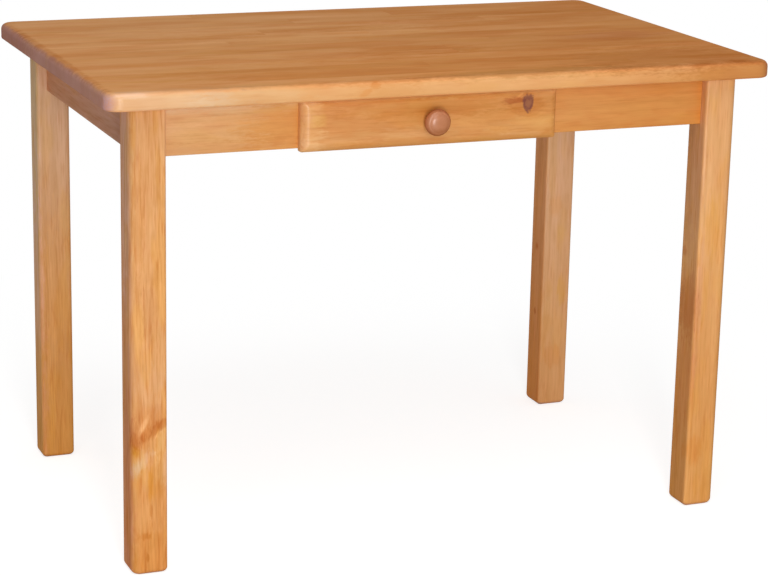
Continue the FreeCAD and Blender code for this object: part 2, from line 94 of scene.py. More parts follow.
class Value:
    """A number that changes over a surface, so that shader sums can be written as expressions."""

    def __init__(self, graph: "Graph", socket: bpy.types.NodeSocket) -> None:
        """Wrap an output socket of a graph."""
        self.graph = graph
        self.socket = socket

    def __add__(self, other: Number) -> "Value":
        """Return self + other."""
        return self.graph.math("ADD", self, other)

    __radd__ = __add__

    def __sub__(self, other: Number) -> "Value":
        """Return self - other."""
        return self.graph.math("SUBTRACT", self, other)

    def __rsub__(self, other: Number) -> "Value":
        """Return other - self."""
        return self.graph.math("SUBTRACT", other, self)

    def __mul__(self, other: Number) -> "Value":
        """Return self * other."""
        return self.graph.math("MULTIPLY", self, other)

    __rmul__ = __mul__

    def __truediv__(self, other: Number) -> "Value":
        """Return self / other."""
        return self.graph.math("DIVIDE", self, other)

    def __rtruediv__(self, other: Number) -> "Value":
        """Return other / self."""
        return self.graph.math("DIVIDE", other, self)

    def __abs__(self) -> "Value":
        """Return the size of self without its sign."""
        return self.graph.math("ABSOLUTE", self)

    def above(self, other: Number) -> "Value":
        """Return 1 where self is above other, and 0 elsewhere."""
        return self.graph.math("GREATER_THAN", self, other)

    def fraction(self) -> "Value":
        """Return what is left of self above the whole number below it."""
        return self.graph.math("FRACT", self)

    def most(self, other: Number) -> "Value":
        """Return the larger of self and other."""
        return self.graph.math("MAXIMUM", self, other)

    def swing(self) -> "Value":
        """Return noise from 0 to 1 as a number that goes as far below 0 as above it."""
        return self - 0.5

    def ramp(self, low: float, high: float) -> "Value":
        """Return a smooth step.

        Args:
            low: where it is 0.
            high: where it is 1, which may be below low.

        Returns:
            The step, from 0 to 1.
        """
        node = self.graph.node(
            "ShaderNodeMapRange", {"interpolation_type": "SMOOTHSTEP"},
            {"Value": self, "From Min": min(low, high), "From Max": max(low, high)},
        )
        step = Value(self.graph, node.outputs[0])
        return step if low < high else 1.0 - step


class Graph:
    """The node tree of one material, or of the sky."""

    # How much of a shade red, green and blue take: shaded wood turns redder.
    shade_shares: Triple = (0.6, 0.95, 1.6)

    def __init__(self, owner: bpy.types.Material | bpy.types.World) -> None:
        """Empty the node tree of a new material or world."""
        owner.use_nodes = True
        self.owner = owner
        self.tree = owner.node_tree
        self.tree.nodes.clear()

    def node(self, kind: str, settings: dict | None = None, sockets: dict | None = None) -> bpy.types.Node:
        """Add a node.

        Args:
            kind: the node's type.
            settings: properties of the node, set first.
            sockets: values or links of its input sockets, by name or number.

        Returns:
            The new node.
        """
        made = self.tree.nodes.new(kind)
        for key, setting in (settings or {}).items():
            setattr(made, key, setting)
        for key, given in (sockets or {}).items():
            target = made.inputs[key]
            if isinstance(given, Value):
                self.tree.links.new(given.socket, target)
            elif isinstance(given, bpy.types.NodeSocket):
                self.tree.links.new(given, target)
            else:
                target.default_value = given
        return made

    def parts(self, socket: bpy.types.NodeSocket) -> tuple[Value, Value, Value]:
        """Return the three numbers of a vector."""
        node = self.node("ShaderNodeSeparateXYZ", None, {0: socket})
        return tuple(Value(self, output) for output in node.outputs)

    def math(self, operation: str, *terms: Number) -> Value:
        """Return the result of a Math node on one or two terms."""
        node = self.node("ShaderNodeMath", {"operation": operation}, dict(enumerate(terms)))
        return Value(self, node.outputs[0])

    def length(self, *sides: Number) -> Value:
        """Return the length of the diagonal over sides at right angles."""
        return self.math("SQRT", sum(side * side for side in sides))

    def vector(self, *numbers: Number) -> bpy.types.NodeSocket:
        """Return a vector made of three numbers."""
        return self.node("ShaderNodeCombineXYZ", None, dict(enumerate(numbers))).outputs[0]

    def noise(self, place: tuple[Number, ...], detail: float = 2.0, roughness: float = 0.5) -> Value:
        """Return smooth noise with one blob to a unit.

        Args:
            place: the three numbers that it runs over.
            detail: how many finer layers lie over it.
            roughness: how strong those layers are.

        Returns:
            The noise, from 0 to 1.
        """
        node = self.node(
            "ShaderNodeTexNoise", None,
            {"Vector": self.vector(*place), "Scale": 1.0, "Detail": detail, "Roughness": roughness},
        )
        return Value(self, node.outputs[0])

    def blend(self, share: Number, first: Paint, second: Paint) -> bpy.types.NodeSocket:
        """Return the colour first, changed to second by share."""
        node = self.node("ShaderNodeMix", {"data_type": "RGBA"}, {0: share, 6: first, 7: second})
        return node.outputs[2]

    def multiply(self, share: Number, colour: Paint, other: Paint) -> bpy.types.NodeSocket:
        """Return a colour, multiplied by another by share."""
        settings = {"data_type": "RGBA", "blend_type": "MULTIPLY"}
        return self.node("ShaderNodeMix", settings, {0: share, 6: colour, 7: other}).outputs[2]

    def shade(self, colour: bpy.types.NodeSocket, level: Value) -> bpy.types.NodeSocket:
        """Return a colour made lighter or darker by a level, where 1 leaves it as it is."""
        factors = self.vector(*(1.0 - (1.0 - level) * share for share in self.shade_shares))
        return self.multiply(1.0, colour, factors)

    def finish(self, sockets: dict, height: Value, depth: float) -> bpy.types.Material:
        """End the graph in a Principled surface.

        Args:
            sockets: values or links of the shader's sockets.
            height: relief of the surface, from 0 to 1.
            depth: how deep that relief is, in metres.

        Returns:
            The finished material.
        """
        bump = self.node("ShaderNodeBump", None, {"Strength": 1.0, "Distance": depth, "Height": height})
        shader = self.node("ShaderNodeBsdfPrincipled", None, {**sockets, "Normal": bump.outputs[0]})
        self.node("ShaderNodeOutputMaterial", None, {"Surface": shader.outputs[0]})
        return self.owner


def rgba(colour: Triple) -> Rgba:
    """Return a colour with full opacity."""
    return (*colour, 1.0)


def grey(level: float) -> Rgba:
    """Return a grey of this level, from 0, black, to 1, white."""
    return rgba((level, level, level))


@dataclass(frozen=True)
class Knot:
    """A knot that passes through a board's thickness.

    along and across are its middle, as seen from the board's middle, and taper is how much longer it gets
    with each half width across the board.
    """

    along: float
    across: float
    half_along: float
    half_across: float
    taper: float


@dataclass(frozen=True)
class Patch:
    """A soft patch on one face of a piece: a ragged ellipsoid inside which the colour is multiplied, by the
    wood's own stains in some patches and by painted light and painted shade in others.

    spot and reach are its middle and its half sizes along the face's two axes, X before Y before Z. X and Y
    are measured from the piece's middle and Z from its lowest point. lean is how much it climbs per metre
    of X, depth is its half size into the wood, and sunk is how far under the face its middle lies.
    """

    face: Face
    spot: Pair
    reach: Pair
    stain_and_painted_light: Triple
    lean: float = 0.0
    depth: float = 0.02
    sunk: float = 0.0

    def middle(self, low: Vector, high: Vector) -> list[float]:
        """Find where its middle lies on a piece.

        Args:
            low: the piece's lowest corner.
            high: the piece's highest corner.

        Returns:
            The middle's X, Y and Z.
        """
        axis, is_high = self.face.value
        origin = ((low.x + high.x) / 2, (low.y + high.y) / 2, low.z)
        place = [start + offset for start, offset in zip(origin, self._with_axis(self.spot, 0.0))]
        place[axis] = high[axis] - self.sunk if is_high else low[axis] + self.sunk
        return place

    def half_sizes(self) -> list[float]:
        """Return its half sizes along X, Y and Z."""
        return self._with_axis(self.reach, self.depth)

    def _with_axis(self, pair: Pair, number: float) -> list[float]:
        """Fill a pair of numbers up to X, Y and Z.

        Args:
            pair: the numbers on the face's own two axes.
            number: the one on the axis that the face looks along.

        Returns:
            All three.
        """
        numbers = list(pair)
        numbers.insert(self.face.value[0], number)
        return numbers


@dataclass(frozen=True)
class Board:
    """How one piece was cut: its fibre direction, the trunk's centre seen from its own middle, and marks.

    low and high multiply its colour at the low and the high end of its length, and rim does so on the faces
    that look across its width. These are partly the wood's own tone and partly painted light: where they
    make the wood bluer, they are a painted sheen. warmth is how much rusty wood there is. figure, hairs and
    bands are how strongly rings and flecks, fine stripes and soft bands show, and ribbons is how many of
    those bands there are to a metre across the grain. shine is how well the lacquer was polished, and
    end_share is how much of the finish's end colour the end grain takes.
    """

    grain: Grain
    seed: float
    pith: Pair = (0.012, -0.075)
    warmth: float = 0.5
    figure: float = 1.0
    hairs: float = 1.0
    bands: float = 1.0
    ribbons: float = 62.0
    shine: float = 1.0
    low: Triple = NO_CHANGE
    high: Triple = NO_CHANGE
    rim: Triple = NO_CHANGE
    end_share: float = 0.8
    knot: Knot | None = None
    patches: tuple[Patch, ...] = ()


@dataclass(frozen=True)
class PineFinish:
    """Colours and surface of sawn wood.

    ring is how much the trunk grew in a year, and relief is how deep the surface's bumps are, in metres.
    """

    early: Triple = (0.79, 0.40, 0.155)
    late: Triple = (0.61, 0.265, 0.085)
    rust: Triple = (0.69, 0.29, 0.09)
    fleck: Triple = (0.90, 0.78, 0.65)
    honey: Triple = (1.01, 0.97, 0.68)
    end: Triple = (0.50, 0.25, 0.185)
    knot: Triple = (0.21, 0.065, 0.045)
    ring: float = 0.0042
    roughness: float = 0.55
    gloss: float = 1.0
    gloss_roughness: float = 0.36
    gloss_index: float = 1.6
    relief: float = 0.00012


LACQUERED = PineFinish()
SANDED = PineFinish(
    early=(0.72, 0.50, 0.27), late=(0.55, 0.33, 0.15), rust=(0.60, 0.38, 0.19), end=(0.42, 0.27, 0.14),
    roughness=0.7, gloss=0.1, gloss_roughness=0.6, relief=0.0002,
)
PLYWOOD = PineFinish(
    early=(0.66, 0.47, 0.27), late=(0.58, 0.39, 0.21), rust=(0.60, 0.41, 0.22), end=(0.40, 0.27, 0.15),
    ring=0.009, roughness=0.65, gloss=0.12, gloss_roughness=0.5, relief=0.0001,
)
BEECH = PineFinish(
    early=(0.66, 0.43, 0.26), late=(0.56, 0.34, 0.19), rust=(0.58, 0.35, 0.2), end=(0.45, 0.28, 0.16),
    ring=0.003, roughness=0.6, gloss=0.15, gloss_roughness=0.5, relief=0.0001,
)
KNOB_WOOD = PineFinish(
    early=(0.44, 0.152, 0.061), late=(0.36, 0.117, 0.048), rust=(0.4, 0.127, 0.048), end=(0.51, 0.2, 0.088),
    ring=0.0026, roughness=0.4, gloss_roughness=0.36, gloss_index=1.62, relief=0.00004,
)


@dataclass(frozen=True)
class Row:
    """One row of the top's staves: its width, the share of its length where two meet, and their tones."""

    width: float
    joint: float
    left: Tone
    right: Tone


TOP_ROWS = (
    Row(0.045, 0.30, Tone.DEEP, Tone.DEEP),
    Row(0.050, 0.62, Tone.PLAIN, Tone.DEEP),
    Row(0.050, 0.44, Tone.DEEP, Tone.RUST),
    Row(0.050, 0.75, Tone.LIGHT, Tone.LIGHT),
    Row(0.055, 0.36, Tone.PLAIN, Tone.PLAIN),
    Row(0.050, 0.52, Tone.PALE, Tone.PALE),
    Row(0.055, 0.28, Tone.LIGHT, Tone.DEEP),
    Row(0.055, 0.68, Tone.DEEP, Tone.DEEP),
    Row(0.045, 0.585, Tone.PLAIN, Tone.RUST),
    Row(0.045, 0.585, Tone.LIGHT, Tone.RUST),
    Row(0.055, 0.47, Tone.LIGHT, Tone.PALE),
    Row(0.050, 0.50, Tone.RUST, Tone.PLAIN),
    Row(0.050, 0.80, Tone.PLAIN, Tone.PLAIN),
    Row(0.050, 0.0, Tone.LIGHT, Tone.LIGHT),
)


@dataclass(frozen=True)
class Pattern:
    """Noise drawn out along a board's fibres, and what it does to the wood.

    along and across are its blobs to a metre each way, and detail and roughness are the noise's own. span,
    where it has one, is the pair of noise values between which it fades in. level, relief and rough are how
    much it changes the wood's lightness, height and roughness.
    """

    along: float
    across: float
    detail: float = 2.0
    roughness: float = 0.5
    span: Pair | None = None
    level: float = 0.0
    relief: float = 0.0
    rough: float = 0.0


HAIR = Pattern(26.0, 900.0, roughness=0.6, level=0.15, relief=0.3, rough=0.1)
PORE = Pattern(14.0, 420.0, detail=1.0, span=(0.66, 0.76), level=-0.09, relief=-0.5, rough=0.08)
STREAK = Pattern(17.0, 250.0, roughness=0.6, level=-0.19)
HONEY = Pattern(9.0, 38.0, detail=3.0, span=(0.48, 0.62))
CLOUD = Pattern(3.2, 17.0)
RING_SWAY = Pattern(1.6, 7.0, detail=1.0)
RING_WAVER = Pattern(10.0, 60.0)
RING_SHOW = Pattern(4.0, 26.0, detail=1.0, span=(0.36, 0.6))
COARSE_EDGE = Pattern(32.0, 120.0, detail=3.0, roughness=0.6)
FINE_EDGE = Pattern(110.0, 420.0, roughness=0.6)


@dataclass
class Fibre:
    """Where each point lies in its board's trunk, and the stave that it belongs to."""

    length: Value
    width: Value
    depth: Value
    seed: Number
    pith: tuple[Number, Number]
    lift: Number = 0.0
    seam: Number = 0.0


@dataclass
class Figure:
    """The patterns that show in one board, each from 0 to 1."""

    late: Value
    hair: Value
    pores: Value
    streak: Value
    cloud: Value
    mottle: Value
    ribbon: Value
    blotch: Value
    end: Value


class PineShader:
    """Builds the shader of a pine board from its finish and its cut."""

    # Soft bands, the mottles to each of them along and across the grain, and how strongly both show.
    ribbons_along: float = 2.6
    mottles_to_ribbon: Pair = (0.37, 1.13)
    mottle_level: float = 0.35
    ribbon_level: float = 0.4
    # Blotches to a metre, which break up the end grain, and how they and the end grain show.
    blotches: float = 26.0
    end_ragged: float = 0.9
    end_span: Pair = (0.25, 0.95)
    end_calm: float = 0.75
    end_level: float = 0.3
    end_rough: float = 0.12
    # Noise values between which warm wood and flecks fade in, and their shares.
    warm_span: Pair = (0.42, 0.6)
    fleck_span: Pair = (0.47, 0.68)
    mottle_span: Pair = (0.4, 0.6)
    fleck_least: float = 0.25
    honey_share: float = 0.7
    late_share: float = 0.36
    # Yearly rings: the trunk's tilt to the board, how the rings wander, and where late wood lies in one.
    tilt: float = 0.035
    tilt_in_depth: float = 0.6
    ring_sway: float = 0.014
    ring_waver: float = 0.9
    rings_round_knot: float = 1.6
    age_rate: float = 0.23
    age_place: Pair = (0.3, 0.7)
    age_span: Pair = (0.25, 0.7)
    late_rise: Pair = (0.25, 0.86)
    late_fall: Pair = (0.9, 1.0)
    late_relief: float = 0.35
    # Lightness and height of wood without any pattern.
    plain_level: float = 0.95
    plain_height: float = 0.5
    # Glued staves: their seams, the numbers that tell them apart, and how far their tones and cuts differ.
    seam_half: float = 0.00035
    end_seam_span: Pair = (0.0004, 0.0002)
    seam_level: float = 0.04
    seam_relief: float = 0.6
    tone_level: float = 0.15
    row_salt: float = 7.3
    stave_salt: float = 3.1
    seed_spread: float = 40.0
    pith_spread: float = 0.08
    pith_lowest: float = 0.61
    pith_rise: float = 0.16
    # Patches and the rim: the distance over which they fade, and how ragged the patches are.
    patch_span: Pair = (1.15, 0.45)
    coarse_ragged: float = 1.5
    fine_ragged: float = 0.9
    rim_span: Pair = (0.8, 0.3)
    # A knot: its lumps and grit to a metre, how far they shift its zones, and how strongly each shows.
    knot_lumps: float = 90.0
    knot_grit: float = 330.0
    knot_narrowest: float = 0.3
    knot_lumpy: float = 0.7
    knot_gritty: float = 0.6
    halo_lumpy: float = 0.6
    heart_lumpy: float = 1.2
    halo_stretch: Pair = (0.16, 0.7)
    halo_span: Pair = (1.5, 0.6)
    core_span: Pair = (1.1, 0.75)
    heart_span: Pair = (0.62, 0.2)
    halo_share: float = 0.8
    core_share: float = 0.85
    heart_share: float = 0.2

    def __init__(self, name: str, finish: PineFinish, board: Board, low: Vector, high: Vector) -> None:
        """Start the material of one board.

        Args:
            name: the material's name.
            finish: its colours and surface.
            board: how it was cut.
            low: the piece's lowest corner.
            high: the piece's highest corner.
        """
        self.graph = Graph(bpy.data.materials.new(name))
        self.look = finish
        self.board = board
        self.low = low
        self.high = high
        self.middle = (low + high) / 2
        spot = self.graph.node("ShaderNodeTexCoord")
        self.place = self.graph.parts(spot.outputs["Object"])
        facing = self.graph.parts(spot.outputs["Normal"])
        along, across, through = board.grain.value
        self.end_facing = abs(facing[along])
        self.flat_facing = abs(facing[through])
        pith = (self.middle[across] + board.pith[0], self.middle[through] + board.pith[1])
        length, width, depth = self.place[along], self.place[across], self.place[through]
        self.fibre = Fibre(length, width, depth, board.seed, pith)

    def split_into_rows(self, rows: tuple[Row, ...]) -> None:
        """Give each stave of a glued panel its own cut and tone.

        Args:
            rows: the rows of staves, from the panel's +Y side.
        """
        graph = self.graph
        size = self.high - self.low
        along = (self.place[0] - self.low.x) / size.x
        across = (self.high.y - self.place[1]) / size.y
        seam = self.seam_half / size.y
        here, before, after = (self._row_ramp(rows, across + move) for move in (0.0, -seam, seam))
        parts = graph.node("ShaderNodeSeparateColor", None, {0: here.outputs[0]})
        left, right, joint = (Value(graph, output) for output in parts.outputs)
        number = Value(graph, here.outputs[1]) * len(rows)
        is_right = along.above(joint)
        end_seam = abs(along - joint).ramp(*self.end_seam_span)
        side_step = abs(Value(graph, before.outputs[1]) - Value(graph, after.outputs[1]))
        dice = graph.node(
            "ShaderNodeTexWhiteNoise", {"noise_dimensions": "1D"},
            {"W": number * self.row_salt + is_right * self.stave_salt},
        )
        chances = graph.node("ShaderNodeSeparateColor", None, {0: dice.outputs["Color"]})
        first, second, third = (Value(graph, output) for output in chances.outputs)
        row_middle = self.high.y - number * size.y / len(rows)
        self.fibre.seed = first * self.seed_spread
        self.fibre.pith = (
            row_middle + second.swing() * self.pith_spread, third * self.pith_rise + self.pith_lowest,
        )
        self.fibre.lift = (left + (right - left) * is_right).swing() * self.tone_level
        self.fibre.seam = side_step.above(0.5 / len(rows)).most(end_seam)

    def _row_ramp(self, rows: tuple[Row, ...], place: Value) -> bpy.types.Node:
        """Make a stepped ramp over the rows.

        Args:
            rows: the rows of staves, in order.
            place: where each point lies across the panel, from 0 to 1.

        Returns:
            The ramp: each row's two tones and joint as colour, and its share of the way as opacity.
        """
        node = self.graph.node("ShaderNodeValToRGB", None, {0: place})
        stops = node.color_ramp.elements
        node.color_ramp.interpolation = "CONSTANT"
        total = sum(row.width for row in rows)
        edge = 0.0
        for number, row in enumerate(rows):
            stop = stops[0] if number == 0 else stops.new(edge / total)
            stop.color = (row.left.value, row.right.value, row.joint, (number + 0.5) / len(rows))
            edge += row.width
        stops.remove(stops[-1])
        return node

    def build(self) -> bpy.types.Material:
        """Put the board's colour, lacquer and relief together.

        Returns:
            The finished material.
        """
        graph, look = self.graph, self.look
        halo, core, heart = self._knot() if self.board.knot else (0.0, 0.0, 0.0)
        figure = self._figure(halo)
        colour = graph.shade(self._wood(figure), self._level(figure))
        colour = self._stains_and_painted_light(colour, figure.end)
        if self.board.knot:
            colour = graph.multiply(halo * self.halo_share, colour, rgba(look.fleck))
            colour = graph.blend(core * self.core_share, colour, rgba(look.knot))
            colour = graph.blend(heart * self.heart_share, colour, rgba(look.rust))
        rough = figure.hair.swing() * HAIR.rough + figure.pores * PORE.rough + figure.end * self.end_rough
        return graph.finish(
            {
                "Base Color": colour, "Roughness": rough + look.roughness, "Specular IOR Level": 0.0,
                "Coat Weight": self._shine(), "Coat Roughness": look.gloss_roughness,
                "Coat IOR": look.gloss_index,
            },
            self._height(figure), look.relief,
        )

    def _grain(self, pattern: Pattern) -> Value:
        """Draw a pattern out along the board's fibres.

        Args:
            pattern: its size and, where it has one, the span in which it fades in.

        Returns:
            Its noise, from 0 to 1.
        """
        fibre = self.fibre
        place = (
            fibre.length * pattern.along + fibre.seed, fibre.width * pattern.across,
            fibre.depth * pattern.across + fibre.seed,
        )
        noise = self.graph.noise(place, pattern.detail, pattern.roughness)
        return noise.ramp(*pattern.span) if pattern.span else noise

    def _figure(self, halo: Number) -> Figure:
        """Lay out the board's patterns.

        Args:
            halo: how near each point lies to a knot, from 0 to 1.

        Returns:
            The patterns.
        """
        ribbons = self.board.ribbons
        along, across = (ribbons * rate for rate in self.mottles_to_ribbon)
        spots = tuple(part * self.blotches for part in self.place)
        blotch = self.graph.noise(spots, detail=4.0, roughness=0.6)
        return Figure(
            late=self._rings(halo),
            hair=self._grain(HAIR),
            pores=self._grain(PORE),
            streak=self._grain(STREAK),
            cloud=self._grain(CLOUD),
            mottle=self._grain(Pattern(along, across, detail=3.0)),
            ribbon=self._grain(Pattern(self.ribbons_along, ribbons)),
            blotch=blotch,
            end=(self.end_facing + blotch.swing() * self.end_ragged).ramp(*self.end_span),
        )

    def _rings(self, halo: Number) -> Value:
        """Draw the yearly rings.

        Args:
            halo: how near each point lies to a knot, from 0 to 1.

        Returns:
            How far each point lies in the dark late wood of a ring, where the rings show.
        """
        graph, fibre, ring = self.graph, self.fibre, self.look.ring
        lean = fibre.length * self.tilt
        across = fibre.width - fibre.pith[0] + lean
        inwards = fibre.depth - fibre.pith[1] + lean * self.tilt_in_depth
        radius = graph.length(across, inwards) + self._grain(RING_SWAY).swing() * self.ring_sway
        radius = radius + halo * (ring * self.rings_round_knot)
        turns = radius / ring + self._grain(RING_WAVER).swing() * self.ring_waver
        age = graph.noise((turns * self.age_rate, *self.age_place), detail=1.0)
        phase = turns.fraction()
        late = phase.ramp(*self.late_rise) - phase.ramp(*self.late_fall)
        return late * age.ramp(*self.age_span) * self._grain(RING_SHOW)

    def _wood(self, figure: Figure) -> bpy.types.NodeSocket:
        """Colour the wood, leaving out its light and dark places.

        Args:
            figure: the board's patterns.

        Returns:
            The colour.
        """
        graph, look, board = self.graph, self.look, self.board
        warm = ((figure.cloud + figure.mottle) * 0.5).ramp(*self.warm_span)
        mottled = figure.mottle.ramp(*self.mottle_span) * (1.0 - self.fleck_least) + self.fleck_least
        fleck = figure.streak.ramp(*self.fleck_span) * mottled
        honey = self._grain(HONEY) * self.honey_share
        colour = graph.blend(warm * board.warmth, rgba(look.early), rgba(look.rust))
        colour = graph.blend(figure.late * (self.late_share * board.figure), colour, rgba(look.late))
        colour = graph.multiply(fleck * board.figure, colour, rgba(look.fleck))
        colour = graph.multiply(honey * board.figure, colour, rgba(look.honey))
        return graph.blend(figure.end * board.end_share, colour, rgba(look.end))

    def _level(self, figure: Figure) -> Value:
        """Work out how light each point of the wood is.

        Args:
            figure: the board's patterns.

        Returns:
            The level, where 1 leaves a colour as it is.
        """
        stripes = figure.hair.swing() * HAIR.level + figure.streak.swing() * STREAK.level
        stripes = (stripes + figure.pores * PORE.level) * self.board.hairs
        bands = figure.mottle.swing() * self.mottle_level + figure.ribbon.swing() * self.ribbon_level
        level = (stripes + bands * self.board.bands) * (1.0 - figure.end * self.end_calm)
        level = level + self.fibre.lift + self.plain_level - self.fibre.seam * self.seam_level
        return level + figure.blotch.swing() * figure.end * self.end_level

    def _height(self, figure: Figure) -> Value:
        """Work out the relief of the surface.

        Args:
            figure: the board's patterns.

        Returns:
            The height, from 0 to 1.
        """
        height = figure.late * self.late_relief + figure.hair * HAIR.relief + figure.pores * PORE.relief
        height = height * (1.0 - figure.end) + self.plain_height
        return height - self.fibre.seam * self.seam_relief

    def _shine(self) -> Value:
        """Work out how much lacquer shows, which is most where a face is looked at squarely.

        Returns:
            The weight of the coat.
        """
        weight = self.graph.node("ShaderNodeLayerWeight", None, {"Blend": 0.5})
        facing = 1.0 - Value(self.graph, weight.outputs["Facing"])
        return facing * facing * (self.look.gloss * self.board.shine)

    def _stains_and_painted_light(self, colour: bpy.types.NodeSocket, end: Value) -> bpy.types.NodeSocket:
        """Multiply the board's colour from end to end, along its rim and in its patches, by its stains and
        by painted light and shade.

        Args:
            colour: the colour of the wood.
            end: how far each point lies in end grain, from 0 to 1.

        Returns:
            The colour with its stains, painted light and painted shade.
        """
        graph, board = self.graph, self.board
        axis = board.grain.value[0]
        share = self.fibre.length.ramp(self.low[axis], self.high[axis])
        colour = graph.multiply(1.0, colour, graph.blend(share, rgba(board.low), rgba(board.high)))
        side = self.flat_facing.ramp(*self.rim_span) * (1.0 - end)
        colour = graph.multiply(side, colour, rgba(board.rim))
        if board.patches:
            coarse = self._grain(COARSE_EDGE).swing() * self.coarse_ragged
            ragged = coarse + self._grain(FINE_EDGE).swing() * self.fine_ragged
            for patch in board.patches:
                colour = graph.multiply(self._patch(patch, ragged), colour, rgba(patch.stain_and_painted_light))
        return colour

    def _patch(self, patch: Patch, ragged: Value) -> Value:
        """Draw one patch.

        Args:
            patch: its place, size and lean.
            ragged: noise that its edge follows.

        Returns:
            How strongly it shows, from 0 to 1.
        """
        x, y, z = (part - middle for part, middle in zip(self.place, patch.middle(self.low, self.high)))
        if patch.lean:
            z = z - x * patch.lean
        scaled = (part / half for part, half in zip((x, y, z), patch.half_sizes()))
        return (self.graph.length(*scaled) + ragged).ramp(*self.patch_span)

    def _knot(self) -> tuple[Value, Value, Value]:
        """Draw the board's knot.

        Returns:
            Its warm surround, its dark body and its lighter heart, each from 0 to 1.
        """
        graph, fibre, knot = self.graph, self.fibre, self.board.knot
        axis, side, _ = self.board.grain.value
        parts = (fibre.length, fibre.width, fibre.depth)
        coarse = tuple(part * self.knot_lumps + fibre.seed for part in parts)
        fine = tuple(part * self.knot_grit for part in parts)
        lumps = graph.noise(coarse, detail=1.0).swing()
        grit = graph.noise(fine, detail=3.0, roughness=0.65).swing()
        along = (fibre.length - (self.middle[axis] + knot.along)) / knot.half_along
        across = (fibre.width - (self.middle[side] + knot.across)) / knot.half_across
        narrowed = along / (1.0 + across * knot.taper).most(self.knot_narrowest)
        distance = graph.length(narrowed, across) + lumps * self.knot_lumpy + grit * self.knot_gritty
        flat, steep = self.halo_stretch
        around = graph.math("SQRT", along * along * flat + across * across * steep)
        around = around + lumps * self.halo_lumpy
        heart = (distance + lumps * self.heart_lumpy + grit).ramp(*self.heart_span)
        return around.ramp(*self.halo_span), distance.ramp(*self.core_span), heart


@dataclass(frozen=True)
class SteelFinish:
    """Colour and surface of zinc-plated steel.

    clouds and scratches are how many of them there are to a metre, and cloud_span is the pair of noise
    values between which the clouds fade in.
    """

    bright: Triple = (0.66, 0.66, 0.63)
    dull: Triple = (0.45, 0.45, 0.42)
    roughness: float = 0.33
    clouds: float = 160.0
    cloud_span: Pair = (0.35, 0.7)
    cloud_rough: float = 0.25
    scratches: Triple = (900.0, 900.0, 2400.0)
    relief: float = 0.00001

    def build(self, name: str) -> bpy.types.Material:
        """Mix the steel.

        Args:
            name: the material's name.

        Returns:
            The finished material.
        """
        graph = Graph(bpy.data.materials.new(name))
        place = graph.parts(graph.node("ShaderNodeTexCoord").outputs["Object"])
        cloud = graph.noise(tuple(part * self.clouds for part in place), detail=3.0)
        scratch = graph.noise(tuple(part * rate for part, rate in zip(place, self.scratches)))
        colour = graph.blend(cloud.ramp(*self.cloud_span), rgba(self.bright), rgba(self.dull))
        rough = cloud.swing() * self.cloud_rough + self.roughness
        sockets = {"Base Color": colour, "Roughness": rough, "Metallic": 1.0}
        return graph.finish(sockets, scratch, self.relief)


def dress(node: str, material: bpy.types.Material) -> None:
    """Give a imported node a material.

    Args:
        node: the node's name.
        material: what it gets.
    """
    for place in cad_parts[node].material_slots:
        place.material = material
    LOG.info("%s wears %s", node, material.name)


def pine(node: str, board: Board, finish: PineFinish = LACQUERED) -> None:
    """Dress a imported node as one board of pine.

    Args:
        node: the node's name.
        board: how the board was cut.
        finish: its colours and surface.
    """
    low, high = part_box(node)
    dress(node, PineShader(f"{node}_wood", finish, board, low, high).build())


def make_piece(name: str, shape: bmesh.types.BMesh) -> bpy.types.Object:
    """Turn a finished bmesh into a smooth piece of the object.

    Args:
        name: the piece's name.
        shape: its mesh, which is freed.

    Returns:
        The new object, linked to the scene.
    """
    mesh = bpy.data.meshes.new(name)
    shape.to_mesh(mesh)
    shape.free()
    mesh.shade_smooth()
    piece = bpy.data.objects.new(name, mesh)
    bpy.context.scene.collection.objects.link(piece)
    return piece


@dataclass
class TopPanel:
    """The glued top."""

    board: Board
    rows: tuple[Row, ...] = TOP_ROWS
    node: str = "table_top"

    def build(self) -> None:
        """Dress the panel with its rows of staves."""
        low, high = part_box(self.node)
        shader = PineShader(f"{self.node}_wood", LACQUERED, self.board, low, high)
        shader.split_into_rows(self.rows)
        dress(self.node, shader.build())


@dataclass
class Boards:
    """Lacquered pieces that are one board each."""

    boards: dict[str, Board]

    def build(self) -> None:
        """Dress each piece."""
        for node, board in self.boards.items():
            pine(node, board)


class Legs(Boards):
    """The four legs."""


class Aprons(Boards):
    """The four aprons."""


@dataclass
class HiddenWood:
    """Blocks, rails and dowels under the top."""

    blocks: tuple[str, ...] = ("front_left", "front_right", "back_left", "back_right")
    rails: tuple[str, ...] = (
        "drawer_runner_left", "drawer_runner_right", "drawer_kicker_left", "drawer_kicker_right",
    )
    dowels: tuple[str, ...] = ("apron_dowels", "runner_dowels")

    def build(self) -> None:
        """Dress every hidden wooden piece."""
        for number, corner in enumerate(self.blocks):
            pine(f"corner_block_{corner}", Board(Grain.ALONG_Z, seed=11.0 + number), SANDED)
        for number, rail in enumerate(self.rails):
            pine(rail, Board(Grain.ALONG_Y, seed=21.0 + number), SANDED)
        pine("drawer_stop_block", Board(Grain.ALONG_X, seed=31.0), SANDED)
        for dowel in self.dowels:
            pine(dowel, Board(Grain.ALONG_Y, seed=41.0), BEECH)


@dataclass
class Hardware:
    """Screws, bolts and brackets."""

    nodes: tuple[str, ...] = (
        "corner_block_screws", "leg_hanger_bolts", "leg_bolt_washers", "leg_bolt_nuts", "top_brackets",
        "top_bracket_screws", "kicker_screws", "drawer_stop_screw", "drawer_box_screws",
        "drawer_front_screws", "knob_screw",
    )

    def build(self) -> None:
        """Dress every steel piece."""
        steel = SteelFinish().build("zinc_steel")
        for node in self.nodes:
            dress(node, steel)


